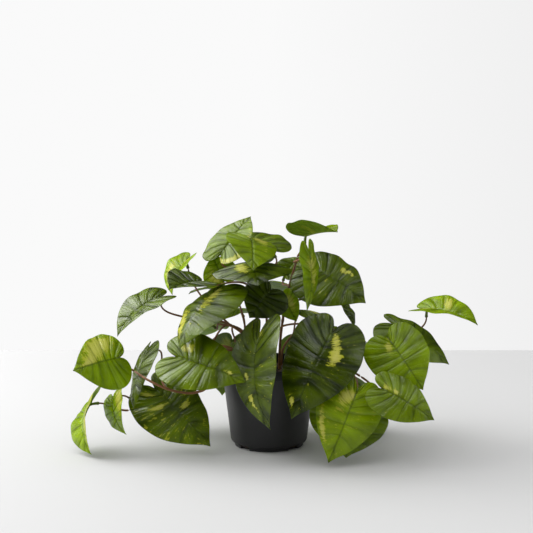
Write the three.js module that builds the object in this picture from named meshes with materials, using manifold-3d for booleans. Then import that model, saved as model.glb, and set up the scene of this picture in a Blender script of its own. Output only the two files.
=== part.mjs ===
// A potted pothos: glossy heart-shaped leaves, each on a short green neck pushed over a wiry brown
// stalk, on stems that trail from potting mix in a tapered black nursery pot.
// Millimetres, +Z up. The origin is the centre of the pot's underside, the front is -Y.
import * as THREE from "three";
import { mergeVertices } from "three/addons/utils/BufferGeometryUtils.js";
import Module from "manifold-3d";

const pot = {
  height: 100, // floor to rim
  baseRadius: 46, // outer radius just above the rounded lower corner
  mouthRadius: 57, // outer radius under the rim band
  wall: 1.6,
  rimWidth: 2.4, // how far the rim band stands out of the wall
  rimHeight: 11,
  footRadius: 41, // the raised foot that the pot stands on
  footHeight: 4,
  cornerRadius: 5, // rounded corner between wall and base
  floorThickness: 2,
  notches: 4, // drain gaps through the foot's edge
  notchWidth: 15,
  drainRadius: 4,
  drainCircle: 27, // radius of the ring of drain holes
  sides: 40,
};
const mix = {
  depthBelowRim: 12, // the top of the potting mix lies this far under the rim
  crown: 3, // the mix is heaped this much higher in the middle
};
const mixTop = pot.height - mix.depthBelowRim;
const clearance = 0.3; // between any two pieces that touch
const stem = { radius: 1.7, sides: 6, step: 14, rootDepth: 16 }; // its root stands rootDepth deep in the mix
const stalk = { radius: 1.1, sides: 5, steps: 5 };
const neck = { radius: 2.2, length: 11, sides: 6, steps: 2, arrival: 45 }; // arrival: degrees below the blade
const blade = {
  thickness: 1,
  stations: [0, 0.06, 0.14, 0.24, 0.35, 0.46, 0.57, 0.68, 0.79, 0.9, 1], // along each margin, joint to tip
  across: 3, // steps from the midrib to each margin
  veinSweep: 1.9, // how far the veins start behind the margin point that they run to
};

// The flat blade's half outline: x runs from the joint (0) to the tip (1), y is a share of the full width.
const outline = new THREE.CatmullRomCurve3(
  [
    [0, 0],
    [-0.09, 0.035],
    [-0.175, 0.11],
    [-0.205, 0.24],
    [-0.12, 0.4],
    [0.07, 0.49],
    [0.3, 0.49],
    [0.55, 0.405],
    [0.77, 0.235],
    [0.92, 0.07],
    [1, 0],
  ].map(([x, y]) => new THREE.Vector3(x, y, 0)),
  false,
  "catmullrom",
  0.5,
);

// Each vine is one branching stem. All its heights are measured from the pot's rim. root: where it stands
// in the mix, route: its further points up to its end. Each leaf has
// at: where its stalk leaves the route (0 root, 1 end), joint and tip: the ends of the blade's chord,
// face: the way its upper side looks, width: the flat blade's full width, and in degrees
// bend: how far the midrib turns from joint to tip, fold: how far both halves are raised to each other,
// curl: how far each half rolls back down to its margin, and where a leaf needs them
// lean: how much more the left half is raised, twist: the tip's turn about the midrib,
// arrival: how far below the blade its neck comes from (neck.arrival if not given).
const vines = [
  {
    name: "left_high",
    root: [-16, 8],
    route: [[-20, 10, 18], [-50, 16, 44], [-100, 18, 51]],
    leaves: [
      {
        at: 1, joint: [-131, 10, 77], tip: [-180, -12, 33], face: [-0.7, -0.5, 0.5],
        width: 60, bend: 58, fold: 16, curl: 15, arrival: 80,
      },
      {
        at: 0.6, joint: [-98, 26, 120], tip: [-116, 14, 79], face: [-0.86, -0.36, 0.37],
        width: 62, bend: 55, fold: 20, curl: 15, arrival: 115,
      },
      {
        at: 0.35, joint: [-56, -46, 98], tip: [-102, -89, 32], face: [-0.68, -0.56, 0.5],
        width: 86, bend: 50, fold: -10, curl: 18,
      },
    ],
  },
  {
    name: "left_front",
    root: [-26, -18],
    route: [
      [-30, -24, 12], [-52, -44, 22], [-70, -60, -16], [-86, -60, -24],
      [-103, -66, -22], [-122, -72, -15], [-140, -68, -7], [-158, -38, -3],
    ],
    leaves: [
      {
        at: 1, joint: [-173, -50, 16], tip: [-224, -84, 7], face: [-0.15, -0.9, 0.3],
        width: 73, bend: 30, fold: -8, curl: 15, arrival: 70,
      },
      {
        at: 0.74, joint: [-144, -26, 19], tip: [-158, -50, -48], face: [-0.86, -0.42, 0.28],
        width: 50, bend: 35, fold: -4, curl: 12,
      },
      {
        at: 0.55, joint: [-107, -76, 22], tip: [-26, -102, -3], face: [-0.05, -0.75, 0.66],
        width: 74, bend: 30, fold: 8, curl: 25,
      },
    ],
  },
  {
    name: "left_low",
    root: [-32, 0],
    route: [[-36, 2, 10], [-62, 6, 18], [-92, 6, -8], [-124, 2, -38], [-168, -4, -58]],
    leaves: [
      {
        at: 1, joint: [-211, -26, -43], tip: [-206, -68, -96], face: [-0.88, -0.48, 0.05],
        width: 64, bend: 70, fold: 16, curl: 15,
      },
      {
        at: 0.9, joint: [-184, -37, -36], tip: [-166, -57, -75], face: [-0.75, -0.65, 0],
        width: 50, bend: 60, fold: 5, curl: 15, twist: -20,
      },
      {
        at: 0.7, joint: [-135, -26, -26], tip: [-68, -60, -88], face: [0.27, -0.86, 0.42],
        width: 88, bend: 20, fold: -18, curl: 10, arrival: 75,
      },
    ],
  },
  {
    name: "crown_left",
    root: [-8, -4],
    route: [[-12, 0, 30], [-20, 2, 80], [-28, 2, 105]],
    leaves: [
      {
        at: 0.9, joint: [-80, -28, 102], tip: [-114, -72, 99], face: [-0.25, -0.62, 0.74],
        width: 64, bend: 25, fold: 15, curl: 12, arrival: 15,
      },
      {
        at: 1, joint: [-57, 6, 130], tip: [-22, 46, 171], face: [-0.55, -0.75, 0.5],
        width: 60, bend: 15, fold: 8, curl: 20,
      },
      {
        at: 0.8, joint: [-55, 12, 98], tip: [-68, 18, 127], face: [0.1, -0.9, 0.3],
        width: 44, bend: 10, fold: 5, curl: 10,
      },
      {
        at: 0.7, joint: [-58, 60, 82], tip: [-98, 36, 77], face: [-0.2, 0.1, 0.95],
        width: 56, bend: 30, fold: 5, curl: 15,
      },
    ],
  },
  {
    name: "crown_mid",
    root: [0, 8],
    route: [[-2, 8, 30], [-4, 6, 80], [-6, 4, 114]],
    leaves: [
      {
        at: 1, joint: [-21, -14, 151], tip: [-18, -84, 122], face: [0.1, -0.74, 0.66],
        width: 62, bend: 40, fold: 4, curl: 15, lean: -12,
      },
      {
        at: 0.92, joint: [5, 32, 131], tip: [-36, 70, 147], face: [0.1, -0.55, 0.8],
        width: 66, bend: 20, fold: 0, curl: 20,
      },
      {
        at: 0.8, joint: [-21, -24, 125], tip: [-13, -94, 106], face: [0, -0.45, 0.9],
        width: 96, bend: 40, fold: -6, curl: 18,
      },
      {
        at: 0.6, joint: [2, -25, 91], tip: [-23, -38, 60], face: [-0.1, -0.95, 0.3],
        width: 58, bend: 20, fold: -5, curl: 15,
      },
      {
        at: 0.7, joint: [0, 58, 90], tip: [9, 114, 63], face: [0, 0.45, 0.9],
        width: 72, bend: 35, fold: -5, curl: 20,
      },
    ],
  },
  {
    name: "crown_right",
    root: [12, 2],
    route: [[14, 4, 30], [22, 10, 80], [34, 16, 125]],
    leaves: [
      {
        at: 1, joint: [42, 14, 151], tip: [80, -30, 160], face: [-0.1, 0.36, 0.93],
        width: 60, bend: 20, fold: 30, curl: 10, arrival: 80,
      },
      {
        at: 0.9, joint: [46, -56, 140], tip: [43, -56, 70], face: [0.93, -0.35, 0.1],
        width: 58, bend: 30, fold: 4, curl: 15, arrival: 110,
      },
      {
        at: 0.8, joint: [51, 2, 114], tip: [114, -22, 75], face: [0.4, -0.7, 0.6],
        width: 88, bend: 30, fold: -5, curl: 20, lean: 6,
      },
      {
        at: 0.75, joint: [19, 40, 102], tip: [39, 66, 119], face: [-0.1, -0.6, 0.8],
        width: 38, bend: 20, fold: 5, curl: 10,
      },
      {
        at: 0.5, joint: [17, -8, 81], tip: [33, -10, 51], face: [-0.2, -0.95, 0.2],
        width: 30, bend: 20, fold: 5, curl: 10,
      },
      {
        at: 0.6, joint: [88, 22, 73], tip: [101, 4, 41], face: [0.9, -0.3, 0.3],
        width: 46, bend: 30, fold: 5, curl: 15,
      },
    ],
  },
  {
    name: "front",
    root: [4, -22],
    route: [[4, -26, 15], [6, -34, 35], [14, -40, 50]],
    leaves: [
      {
        at: 0.8, joint: [-11, -80, 49], tip: [2, -106, -57], face: [-0.78, -0.6, 0.12],
        width: 84, bend: 60, fold: 6, curl: 12,
      },
      {
        at: 1, joint: [73, -74, 51], tip: [25, -112, -43], face: [-0.16, -0.9, 0.4],
        width: 94, bend: 35, fold: -12, curl: 15,
      },
    ],
  },
  {
    name: "right_high",
    root: [24, 2],
    route: [[34, 2, 14], [62, -4, 24], [100, -6, 12], [132, 12, 6], [156, 50, 14]],
    leaves: [
      {
        at: 1, joint: [190, 38, 58], tip: [251, 10, 43], face: [0.1, -0.22, 0.97],
        width: 66, bend: 45, fold: 20, curl: 15, arrival: 80,
      },
      {
        at: 0.76, joint: [149, 16, 44], tip: [216, 0, -3], face: [0.1, -0.42, 0.9],
        width: 78, bend: 30, fold: -8, curl: 18,
      },
      {
        at: 0.62, joint: [140, -42, 36], tip: [178, -68, -19], face: [0.05, -0.95, 0.3],
        width: 78, bend: 25, fold: -8, curl: 15, arrival: 85,
      },
    ],
  },
  {
    name: "right_low",
    root: [26, -16],
    route: [[34, -24, 8], [58, -36, 14], [86, -38, 4], [108, -24, -12]],
    leaves: [
      {
        at: 1, joint: [128, -100, -10], tip: [187, -108, -45], face: [0.1, -0.85, 0.5],
        width: 57, bend: 30, fold: -6, curl: 18, arrival: 95,
      },
      {
        at: 0.8, joint: [100, -92, -15], tip: [67, -114, -93], face: [0.1, -0.95, 0.3],
        width: 78, bend: 25, fold: -8, curl: 15,
      },
      {
        at: 0.7, joint: [94, -68, -37], tip: [88, -96, -92], face: [0.05, -0.95, 0.25],
        width: 94, bend: 15, fold: -5, curl: 10,
      },
    ],
  },
  {
    name: "back_left",
    root: [-14, 26],
    route: [[-18, 32, 12], [-36, 48, 32], [-62, 60, 36]],
    leaves: [
      {
        at: 1, joint: [-72, 80, 34], tip: [-116, 106, 0], face: [-0.5, 0.4, 0.77],
        width: 72, bend: 35, fold: -5, curl: 20,
      },
      {
        at: 0.8, joint: [-46, 84, 12], tip: [-60, 112, -66], face: [-0.3, 0.9, 0.3],
        width: 82, bend: 30, fold: -8, curl: 15,
      },
      {
        at: 0.6, joint: [-34, 58, 54], tip: [-64, 114, 36], face: [-0.2, 0.3, 0.93],
        width: 74, bend: 35, fold: -5, curl: 20,
      },
      {
        at: 0.9, joint: [-94, 48, -4], tip: [-142, 66, -64], face: [-0.7, 0.6, 0.4],
        width: 74, bend: 30, fold: -5, curl: 15,
      },
    ],
  },
  {
    name: "back_right",
    root: [14, 26],
    route: [[18, 32, 12], [38, 48, 30], [62, 60, 32]],
    leaves: [
      {
        at: 1, joint: [80, 80, 30], tip: [124, 108, -2], face: [0.5, 0.4, 0.77],
        width: 70, bend: 35, fold: -5, curl: 20,
      },
      {
        at: 0.8, joint: [48, 84, 10], tip: [68, 112, -72], face: [0.3, 0.9, 0.3],
        width: 80, bend: 30, fold: -8, curl: 15,
      },
      {
        at: 0.6, joint: [36, 58, 52], tip: [66, 114, 34], face: [0.2, 0.3, 0.93],
        width: 72, bend: 35, fold: -5, curl: 20,
      },
      {
        at: 0.9, joint: [104, 58, -32], tip: [142, 76, -86], face: [0.7, 0.6, 0.4],
        width: 70, bend: 30, fold: -5, curl: 15,
      },
    ],
  },
];

const fromRim = ([x, y, z]) => new THREE.Vector3(x, y, pot.height + z);
const radians = THREE.MathUtils.degToRad;
const wasm = await Module();
wasm.setup();

// A three.js geometry as a manifold solid, and back.
function solidOf(geometry) {
  const bare = new THREE.BufferGeometry().setAttribute(
    "position",
    (geometry.index ? geometry.toNonIndexed() : geometry).getAttribute("position"),
  );
  const merged = mergeVertices(bare, 1e-4);
  return new wasm.Manifold(
    new wasm.Mesh({
      numProp: 3,
      vertProperties: merged.attributes.position.array,
      triVerts: new Uint32Array(merged.index.array),
    }),
  );
}
function geometryOf(solid) {
  const { numProp, numVert, vertProperties, triVerts } = solid.getMesh();
  const points = new Float32Array(numVert * 3);
  for (let i = 0; i < numVert; i++) {
    points.set(vertProperties.subarray(i * numProp, i * numProp + 3), i * 3);
  }
  const geometry = new THREE.BufferGeometry();
  geometry.setAttribute("position", new THREE.BufferAttribute(points, 3));
  geometry.setIndex(new THREE.BufferAttribute(triVerts, 1));
  geometry.computeVertexNormals();
  return geometry;
}

// A round bar along a curve.
function barAlong(curve, radius, sides, steps) {
  const section = new THREE.Shape();
  for (let i = 0; i <= sides; i++) {
    const angle = (i / sides) * 2 * Math.PI;
    const point = [radius * Math.cos(angle), radius * Math.sin(angle)];
    if (i === 0) section.moveTo(...point);
    else section.lineTo(...point);
  }
  return solidOf(new THREE.ExtrudeGeometry(section, { extrudePath: curve, steps, curveSegments: sides }));
}

// The frame that a leaf's blade is bent in: along its chord, across it, and out of its upper side.
function leafFrame(leaf) {
  const joint = fromRim(leaf.joint);
  const along = fromRim(leaf.tip).sub(joint);
  const chord = along.length();
  along.normalize();
  const up = new THREE.Vector3(...leaf.face);
  up.addScaledVector(along, -up.dot(along)).normalize();
  return { joint, along, across: up.clone().cross(along), up, chord };
}

// The midrib is an arc of total turn bend. At share s of its length it gives the point and the
// directions along it, across it and out of the upper side, turned by the twist.
function midribAt(leaf, frame, s) {
  const bend = radians(Math.max(leaf.bend, 1));
  const length = (frame.chord * bend) / (2 * Math.sin(bend / 2));
  const heading = bend / 2 - bend * s;
  const forward = ((Math.sin(bend / 2) - Math.sin(heading)) / bend) * length;
  const rise = ((Math.cos(heading) - Math.cos(bend / 2)) / bend) * length;
  const point = frame.joint.clone().addScaledVector(frame.along, forward).addScaledVector(frame.up, rise);
  const along = frame.along.clone().multiplyScalar(Math.cos(heading));
  along.addScaledVector(frame.up, Math.sin(heading));
  const up = frame.up.clone().multiplyScalar(Math.cos(heading));
  up.addScaledVector(frame.along, -Math.sin(heading));
  const turn = radians(leaf.twist ?? 0) * s;
  return {
    point,
    along,
    across: frame.across.clone().applyAxisAngle(along, turn),
    up: up.applyAxisAngle(along, turn),
    length,
  };
}

// A point of the blade's middle surface and the normal there. s runs along the midrib, side is 1 or -1,
// and out is the flat distance from the midrib as a share of half the width.
function bladePoint(leaf, frame, s, side, out) {
  const mid = midribAt(leaf, frame, s);
  const half = leaf.width / 2;
  const raised = radians(leaf.fold + side * (leaf.lean ?? 0));
  const curl = radians(Math.abs(leaf.curl) < 1 ? 1 : leaf.curl);
  const tilt = raised - curl * out;
  const sideways = ((Math.sin(raised) - Math.sin(tilt)) / curl) * half * side;
  const lift = ((Math.cos(tilt) - Math.cos(raised)) / curl) * half;
  const point = mid.point.clone().addScaledVector(mid.across, sideways).addScaledVector(mid.up, lift);
  const normal = mid.up.clone().multiplyScalar(out === 0 ? 1 : Math.cos(tilt));
  if (out !== 0) normal.addScaledVector(mid.across, -Math.sin(tilt) * side);
  return { point, normal };
}

// The blade: rows of points from the left margin over the midrib to the right margin, all meeting at
// the joint and at the tip, as an upper and a lower skin joined round the margin.
function bladeSolid(leaf) {
  const frame = leafFrame(leaf);
  const rows = blade.stations.map((t) => {
    const edge = outline.getPoint(t);
    const start = t ** blade.veinSweep;
    const row = [];
    for (let k = -blade.across; k <= blade.across; k++) {
      const out = Math.abs(k) / blade.across;
      const s = start + (edge.x - start) * out;
      row.push(bladePoint(leaf, frame, s, k < 0 ? 1 : -1, out * edge.y * 2));
    }
    return row;
  });
  const points = [];
  const push = (p, offset) =>
    points.push(p.point.clone().addScaledVector(p.normal, offset * blade.thickness)) - 1;
  const last = rows.length - 1;
  const skin = (offset) =>
    rows.map((row, i) => {
      if (i > 0 && i < last) return row.map((p) => push(p, offset));
      const pole = push(row[blade.across], offset);
      return row.map(() => pole);
    });
  const upper = skin(0.5);
  const lower = skin(-0.5);
  const faces = [];
  const quad = (a, b, c, d) => {
    if (a !== b && b !== c && c !== a) faces.push(a, b, c);
    if (a !== c && c !== d && d !== a) faces.push(a, c, d);
  };
  const columns = 2 * blade.across;
  for (let i = 0; i < last; i++) {
    for (let k = 0; k < columns; k++) {
      quad(upper[i][k], upper[i][k + 1], upper[i + 1][k + 1], upper[i + 1][k]);
      quad(lower[i][k], lower[i + 1][k], lower[i + 1][k + 1], lower[i][k + 1]);
    }
    quad(upper[i][0], upper[i + 1][0], lower[i + 1][0], lower[i][0]);
    quad(upper[i + 1][columns], upper[i][columns], lower[i][columns], lower[i + 1][columns]);
  }
  const geometry = new THREE.BufferGeometry().setFromPoints(points);
  geometry.setIndex(faces);
  return solidOf(geometry);
}

// Where the neck starts and which way it runs into the blade's underside at the joint.
function neckOf(leaf) {
  const mid = midribAt(leaf, leafFrame(leaf), 0);
  const angle = radians(leaf.arrival ?? neck.arrival);
  const inward = mid.along.clone().multiplyScalar(Math.cos(angle)).addScaledVector(mid.up, Math.sin(angle));
  const under = neck.radius * 0.7 * Math.cos(angle);
  const end = mid.point.clone().addScaledVector(mid.up, -under).addScaledVector(mid.along, 1.5);
  const start = end.clone().addScaledVector(inward, -neck.length);
  return { start, end, inward };
}
function leafSolid(leaf) {
  const { start, end } = neckOf(leaf);
  const bar = barAlong(new THREE.LineCurve3(start, end), neck.radius, neck.sides, neck.steps);
  return bladeSolid(leaf).add(bar);
}

// A vine's route, from the foot of its root in the mix to its end.
function routeOf(vine) {
  const root = new THREE.Vector3(...vine.root, mixTop - stem.rootDepth);
  return new THREE.CatmullRomCurve3([root, ...vine.route.map(fromRim)], false, "centripetal");
}

// A vine: the stem, and a stalk to each leaf that stops the clearance short of its neck.
function vineSolid(vine) {
  const route = routeOf(vine);
  const steps = Math.round(route.getLength() / stem.step);
  let solid = barAlong(route, stem.radius, stem.sides, steps);
  for (const leaf of vine.leaves) {
    const { start, inward } = neckOf(leaf);
    const from = route.getPointAt(leaf.at);
    const end = start.clone().addScaledVector(inward, -clearance);
    const reach = from.distanceTo(end);
    const leave = route.getTangentAt(leaf.at).add(end.clone().sub(from).divideScalar(reach)).normalize();
    const curve = new THREE.CubicBezierCurve3(
      from,
      from.clone().addScaledVector(leave, reach * 0.35),
      end.clone().addScaledVector(inward, -reach * 0.35),
      end,
    );
    solid = solid.add(barAlong(curve, stalk.radius, stalk.sides, stalk.steps));
  }
  return solid;
}

// A closed solid of revolution from a profile of [radius, height] points that starts and ends on the axis.
function turned(profile) {
  const points = profile.map(([r, z]) => new THREE.Vector2(r, z));
  return solidOf(new THREE.LatheGeometry(points, pot.sides).rotateX(Math.PI / 2));
}

// The pot's wall line from its foot to its rim, moved inwards by inset.
function wallLine(inset) {
  const corner = pot.footHeight + pot.cornerRadius;
  const slope = (pot.mouthRadius - pot.baseRadius) / (pot.height - corner);
  const line = [[pot.footRadius - inset, pot.footHeight + inset]];
  for (let i = 0; i <= 3; i++) {
    const angle = (i / 3) * (Math.PI / 2);
    const bend = pot.cornerRadius - inset;
    line.push([
      pot.baseRadius - pot.cornerRadius + bend * Math.sin(angle),
      corner - bend * Math.cos(angle),
    ]);
  }
  line.push([pot.baseRadius - inset + slope * (pot.height - corner), pot.height]);
  return line;
}
function potSolid() {
  const rimStart = pot.height - pot.rimHeight;
  const wall = wallLine(0);
  const top = wall.pop();
  const under = wall[wall.length - 1];
  const share = (rimStart - under[1]) / (top[1] - under[1]);
  const rimRadius = top[0] + pot.rimWidth;
  let solid = turned([
    [0, 0],
    [pot.footRadius, 0],
    ...wall,
    [under[0] + (top[0] - under[0]) * share, rimStart],
    [rimRadius - 0.6, rimStart],
    [rimRadius, rimStart + 0.6],
    [rimRadius, pot.height - 0.8],
    [rimRadius - 0.8, pot.height],
    [0, pot.height],
  ]);
  const inner = wallLine(pot.wall);
  inner[inner.length - 1][1] += 0.01;
  const hollow = [
    [0, pot.floorThickness],
    [inner[0][0], pot.floorThickness],
    ...inner,
    [0, pot.height + 0.01],
  ];
  solid = solid.subtract(turned(hollow));
  for (let i = 0; i < pot.notches; i++) {
    const angle = ((i + 0.5) / pot.notches) * 2 * Math.PI;
    const notch = new THREE.BoxGeometry(pot.cornerRadius + 4, pot.notchWidth, pot.footHeight + 3);
    notch.translate(pot.footRadius, 0, pot.footHeight / 2 + 0.5).rotateZ(angle);
    const drain = new THREE.CylinderGeometry(pot.drainRadius, pot.drainRadius, 12, 12).rotateX(Math.PI / 2);
    drain.translate(pot.drainCircle, 0, 0).rotateZ(angle + Math.PI / pot.notches);
    solid = solid.subtract(solidOf(notch)).subtract(solidOf(drain));
  }
  return solid;
}

// The room in the mix for a vine's root: as the stem, but wider by the clearance all round.
function rootRoom(vine) {
  const route = routeOf(vine);
  const reach = (2 * stem.rootDepth) / route.getLength();
  const points = [0, 0.25, 0.5, 0.75, 1].map((share) => route.getPointAt(share * reach));
  points[0].addScaledVector(route.getTangentAt(0), -clearance);
  const radius = (stem.radius + clearance) / Math.cos(Math.PI / stem.sides);
  return barAlong(new THREE.CatmullRomCurve3(points), radius, stem.sides, 5);
}
function mixSolid() {
  const side = wallLine(pot.wall + clearance);
  const rim = side.pop();
  const under = side[side.length - 1];
  const share = (mixTop - under[1]) / (rim[1] - under[1]);
  let solid = turned([
    [0, pot.floorThickness + clearance],
    [side[0][0], pot.floorThickness + clearance],
    ...side,
    [under[0] + (rim[0] - under[0]) * share, mixTop],
    [pot.baseRadius * 0.7, mixTop + mix.crown * 0.5],
    [pot.baseRadius * 0.35, mixTop + mix.crown * 0.9],
    [0, mixTop + mix.crown],
  ]);
  for (const vine of vines) solid = solid.subtract(rootRoom(vine));
  return solid;
}

const leafGreen = new THREE.MeshStandardMaterial({ color: 0x3f6a1c, roughness: 0.35, metalness: 0 });
const stemBrown = new THREE.MeshStandardMaterial({ color: 0x4a2f16, roughness: 0.6, metalness: 0 });
const potBlack = new THREE.MeshStandardMaterial({ color: 0x1b1b1d, roughness: 0.5, metalness: 0 });
const mixBrown = new THREE.MeshStandardMaterial({ color: 0x2b1d12, roughness: 0.95, metalness: 0 });

const plant = new THREE.Group();
function addPiece(name, solid, material) {
  const mesh = new THREE.Mesh(geometryOf(solid), material);
  mesh.name = name;
  plant.add(mesh);
}
addPiece("pot", potSolid(), potBlack);
addPiece("potting_mix", mixSolid(), mixBrown);
for (const vine of vines) {
  addPiece("vine_" + vine.name, vineSolid(vine), stemBrown);
  vine.leaves.forEach((leaf, i) => addPiece(`leaf_${vine.name}_${i + 1}`, leafSolid(leaf), leafGreen));
}

export default plant;
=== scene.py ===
import math

import bpy
import numpy as np
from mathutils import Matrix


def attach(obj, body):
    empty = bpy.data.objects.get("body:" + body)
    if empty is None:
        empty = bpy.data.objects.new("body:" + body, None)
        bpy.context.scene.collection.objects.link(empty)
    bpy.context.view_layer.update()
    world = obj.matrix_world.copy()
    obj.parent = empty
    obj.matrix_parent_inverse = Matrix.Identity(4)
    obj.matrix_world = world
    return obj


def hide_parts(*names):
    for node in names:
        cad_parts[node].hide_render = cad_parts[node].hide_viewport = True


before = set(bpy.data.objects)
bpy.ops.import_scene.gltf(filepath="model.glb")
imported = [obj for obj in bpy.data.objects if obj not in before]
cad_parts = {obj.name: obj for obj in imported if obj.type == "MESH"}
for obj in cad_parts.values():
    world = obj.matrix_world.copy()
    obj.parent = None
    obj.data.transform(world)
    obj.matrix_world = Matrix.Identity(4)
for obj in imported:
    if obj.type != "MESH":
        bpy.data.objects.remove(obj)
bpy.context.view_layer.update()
scene = bpy.context.scene
millimetre = 0.001


# A node socket that takes part in sums: each operator adds a Math node to its finish.
class Wire:
    def __init__(self, finish, socket):
        self.finish = finish
        self.socket = socket

    def maths(self, operation, *values):
        return self.finish.node("Math", {"operation": operation}, dict(enumerate(values)))

    def __add__(self, other):
        return self.maths("ADD", self, other)

    def __radd__(self, other):
        return self.maths("ADD", other, self)

    def __sub__(self, other):
        return self.maths("SUBTRACT", self, other)

    def __rsub__(self, other):
        return self.maths("SUBTRACT", other, self)

    def __mul__(self, other):
        return self.maths("MULTIPLY", self, other)

    def __rmul__(self, other):
        return self.maths("MULTIPLY", other, self)

    def __pow__(self, other):
        return self.maths("POWER", self, other)

    def __rpow__(self, other):
        return self.maths("POWER", other, self)

    def __abs__(self):
        return self.maths("ABSOLUTE", self)

    def cosine(self):
        return self.maths("COSINE", self)

    def clamped(self):
        return self.finish.node("Clamp", {}, {"Value": self})


# The nodes of a material or of the world. The method node makes them all: it takes the node's kind,
# its settings and then its sockets.
class Finish:
    def __init__(self, owner):
        owner.use_nodes = True
        self.owner = owner
        self.tree = owner.node_tree
        self.tree.nodes.clear()

    def node(self, kind, settings, values, output=0):
        made = self.tree.nodes.new("ShaderNode" + kind)
        for key, value in settings.items():
            setattr(made, key, value)
        for key, value in values.items():
            if isinstance(value, Wire):
                self.tree.links.new(value.socket, made.inputs[key])
            else:
                made.inputs[key].default_value = value
        return Wire(self, made.outputs[output]) if made.outputs else None

    def parts(self, vector):
        return [self.node("SeparateXYZ", {}, {0: vector}, part) for part in range(3)]

    # The three parts of one of a mesh's own attributes.
    def attribute(self, name):
        return self.parts(self.node("Attribute", {"attribute_name": name}, {}, "Vector"))

    def objectPoint(self):
        return self.node("TexCoord", {}, {}, "Object")

    def combined(self, x, y, z):
        return self.node("CombineXYZ", {}, {0: x, 1: y, 2: z})

    def noise(self, vector, scale, detail, roughness=0.5):
        values = {"Vector": vector, "Scale": scale, "Detail": detail, "Roughness": roughness}
        return self.node("TexNoise", {}, values)

    def cells(self, vector, scale, feature):
        values = {"Vector": vector, "Scale": scale}
        return self.node("TexVoronoi", {"feature": feature}, values, "Distance")

    # 0 at low, 1 at high, an even slope between and level past both. Low may be the greater one.
    def step(self, value, low, high):
        values = {"Value": value, "From Min": low, "From Max": high}
        return self.node("MapRange", {"clamp": True}, values)

    # A colour part way from one colour to the other.
    def blend(self, share, one, other):
        return self.node("Mix", {"data_type": "RGBA"}, {0: share, 6: one, 7: other}, 2)

    # How far a direction points towards another: their cosine.
    def towards(self, vector, direction):
        settings = {"operation": "DOT_PRODUCT"}
        aim = unit(np.array(direction, float)).tolist()
        return self.node("VectorMath", settings, {0: vector, 1: aim}, "Value")

    # A surface by its colour, its roughness, the relief that bumps it, and constants by name.
    def surface(self, base, rough, relief, distance, strength, **constants):
        height = {"Height": relief, "Distance": distance, "Strength": strength}
        values = {"Base Color": base, "Roughness": rough, "Normal": self.node("Bump", {}, height)}
        return self.node("BsdfPrincipled", {}, values | constants)

    def finished(self, shader, output="OutputMaterial"):
        self.node(output, {}, {"Surface": shader})
        return self.owner


def newFinish(name):
    return Finish(bpy.data.materials.new(name))


# A screen colour, 0 to 255 a part, as the renderer's linear colour.
def colour(red, green, blue):
    parts = np.array([red, green, blue]) / 255
    linear = np.where(parts <= 0.04045, parts / 12.92, ((parts + 0.055) / 1.055) ** 2.4)
    return (*linear.tolist(), 1.0)


def unit(vectors):
    return vectors / np.linalg.norm(vectors, axis=-1, keepdims=True)


# The faces of a closed skin made of rings of points, with a single point at either end. Each face joins
# a point to the next one round its ring and to the next ring. The sign of the enclosed volume, the sum
# of a . (b x c) over the triangles, tells whether they face outwards.
def skinFaces(points, rows, columns):
    inner = 1 + np.arange((rows - 2) * columns).reshape(rows - 2, columns)
    beside = np.roll(inner, -1, axis=1)
    quads = np.stack([inner[:-1], inner[1:], beside[1:], beside[:-1]], -1).reshape(-1, 4)
    ends = np.concatenate(
        [
            np.stack([np.zeros(columns, int), inner[0], beside[0]], -1),
            np.stack([np.full(columns, len(points) - 1), beside[-1], inner[-1]], -1),
        ]
    )
    triangles = np.concatenate([quads[:, :3], quads[:, [0, 2, 3]], ends])
    a, b, c = (points[triangles[:, k]] for k in range(3))
    if np.sum(a * np.cross(b, c)) < 0:
        quads, ends = quads[:, ::-1], ends[:, ::-1]
    return quads, ends


# The rows of a ring grid as one list of points, whose first and last ring are one point each.
def listed(grid):
    return np.concatenate([grid[0, :1], grid[1:-1].reshape(-1, grid.shape[-1]), grid[-1, :1]])


# One piece made of closed skins, in place of a CAD node. Each skin has its rings, the number of its
# finish, and values that vary over it, which the finishes read as attributes.
def makePiece(name, skins, finishes, node):
    points, faces, finishOf, values = [], [], [], {}
    keys = sorted({key for skin in skins for key in skin.get("values", {})})
    count = 0
    for skin in skins:
        rings = skin["rings"]
        own = listed(rings)
        quads, ends = skinFaces(own, *rings.shape[:2])
        faces += (quads + count).tolist() + (ends + count).tolist()
        finishOf.append(np.full(len(quads) + len(ends), skin.get("finish", 0)))
        for key in keys:
            given = skin.get("values", {}).get(key)
            filled = np.zeros((len(own), 3)) if given is None else listed(given)
            values.setdefault(key, []).append(filled)
        points.append(own)
        count += len(own)
    mesh = bpy.data.meshes.new(name)
    mesh.from_pydata(np.concatenate(points).tolist(), [], faces)
    for key in keys:
        attribute = mesh.attributes.new(key, "FLOAT_VECTOR", "POINT")
        attribute.data.foreach_set("vector", np.concatenate(values[key]).astype(np.float32).ravel())
    mesh.polygons.foreach_set("material_index", np.concatenate(finishOf).astype(np.int32))
    mesh.polygons.foreach_set("use_smooth", np.ones(len(faces), bool))
    for finish in finishes:
        mesh.materials.append(finish)
    mesh.update()
    piece = bpy.data.objects.new(name, mesh)
    scene.collection.objects.link(piece)
    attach(piece, "root")
    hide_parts(node)
    return piece


# Even angles once round: 2 pi k / count.
def roundAngles(count):
    return 2 * np.pi * np.arange(count) / count


# The length of a path up to each of its points: the sum of the steps before it.
def lengthAlong(path):
    return np.concatenate([[0], np.cumsum(np.linalg.norm(np.diff(path, axis=0), axis=1))])


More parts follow.
